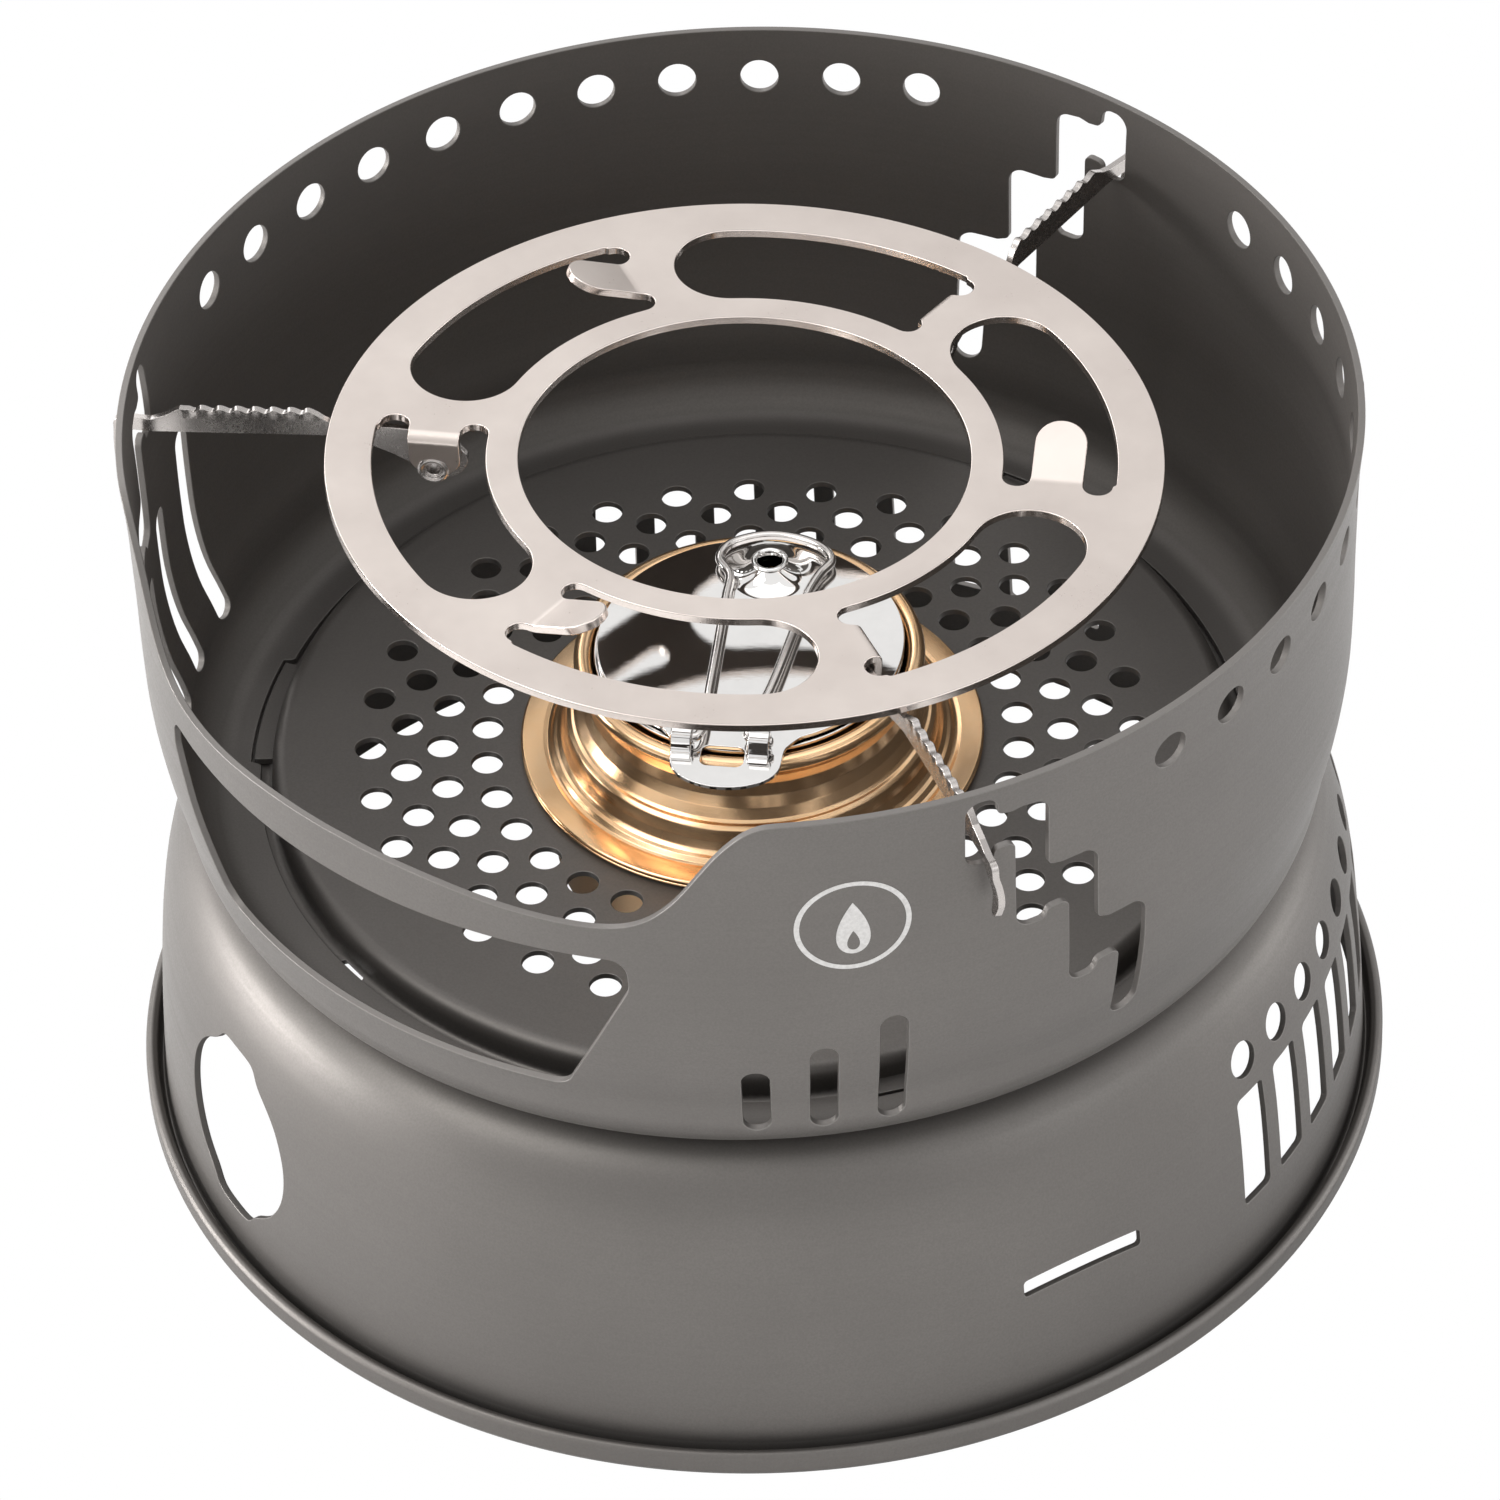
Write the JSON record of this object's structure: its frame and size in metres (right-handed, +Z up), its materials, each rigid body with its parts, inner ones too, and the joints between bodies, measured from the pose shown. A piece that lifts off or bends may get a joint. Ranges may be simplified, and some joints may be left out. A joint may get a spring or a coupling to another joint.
{
  "type": "spirit_stove",
  "caption": "Alcohol spirit stove: perforated base windshield, lift-off upper windshield with stepped slots, pot ring on toothed folding arms, brass burner with swivelling simmer cover",
  "frame": {"origin": "centre of the base at the ground", "axes": "+Z up along the axis of the stove; +X to the right and -Y towards the side with the pair of nearest vents and the simmer tab; the hose opening is at 208.8 degrees from +X"},
  "size_m": [0.21, 0.21, 0.1373],
  "materials": {
    "anodised_shell": "hard-anodised warm grey, fine matt",
    "satin_steel": "satin stainless steel",
    "mirror_steel": "polished stainless steel",
    "burner_brass": "turned and drawn bright brass",
    "wick_fibre": "woven fibre packing"
  },
  "bodies": {
    "base": {"base_windshield": "anodised_shell"},
    "windshield": {"upper_windshield": "anodised_shell"},
    "pot_support": {"pot_ring": "satin_steel", "arm_rivet_1": "satin_steel", "arm_rivet_2": "satin_steel", "arm_rivet_3": "satin_steel"},
    "arm_1": {"support_arm_1": "satin_steel"},
    "arm_2": {"support_arm_2": "satin_steel"},
    "arm_3": {"support_arm_3": "satin_steel"},
    "burner": {"burner_cup": "burner_brass", "burner_collar": "burner_brass", "burner_inner_wall": "burner_brass", "burner_wick": "wick_fibre"},
    "simmer_base": {"simmer_ring": "mirror_steel", "simmer_rivet": "mirror_steel"},
    "simmer_lid": {"simmer_cover": "mirror_steel"},
    "handle": {"simmer_handle": "satin_steel"}
  },
  "joints": [
    {"name": "windshield_lift", "type": "slide", "parent": "base", "child": "windshield", "axis": [0, 0, 1], "range_m": [0, 0.08]},
    {"name": "pot_support_lift", "type": "slide", "parent": "windshield", "child": "pot_support", "axis": [0, 0, 1], "range_m": [0, 0.006]},
    {"name": "burner_lift", "type": "slide", "parent": "base", "child": "burner", "axis": [0, 0, 1], "range_m": [0, 0.022]},
    {"name": "simmer_lift", "type": "slide", "parent": "burner", "child": "simmer_base", "axis": [0, 0, 1], "range_m": [0, 0.012]},
    {"name": "cover_swing", "type": "hinge", "parent": "simmer_base", "child": "simmer_lid", "pos_m": [0.00297, 0.0178, 0.0868], "axis": [0, 0, 1], "range_deg": [-30, 30]},
    {"name": "handle_fold", "type": "hinge", "parent": "simmer_lid", "child": "handle", "pos_m": [-0.00458, -0.02542, 0.089], "axis": [0.9863, -0.165, 0], "range_deg": [0, 80]},
    {"name": "arm_fold_1", "type": "hinge", "parent": "pot_support", "child": "arm_1", "pos_m": [-0.04825, 0.01061, 0.1185], "axis": [-0.153, -0.9882, 0], "range_deg": [0, 7.5]},
    {"name": "arm_fold_2", "type": "hinge", "parent": "pot_support", "child": "arm_2", "pos_m": [0.01494, -0.04709, 0.1185], "axis": [0.9323, 0.3616, 0], "range_deg": [0, 7.5]},
    {"name": "arm_fold_3", "type": "hinge", "parent": "pot_support", "child": "arm_3", "pos_m": [0.03331, 0.03648, 0.1185], "axis": [-0.7793, 0.6266, 0], "range_deg": [0, 7.5]}
  ],
  "couplings": [
    {"joint": "arm_fold_1", "follows": "pot_support_lift", "rad_per_m": 20.362},
    {"joint": "arm_fold_2", "follows": "pot_support_lift", "rad_per_m": 20.362},
    {"joint": "arm_fold_3", "follows": "pot_support_lift", "rad_per_m": 20.362}
  ]
}
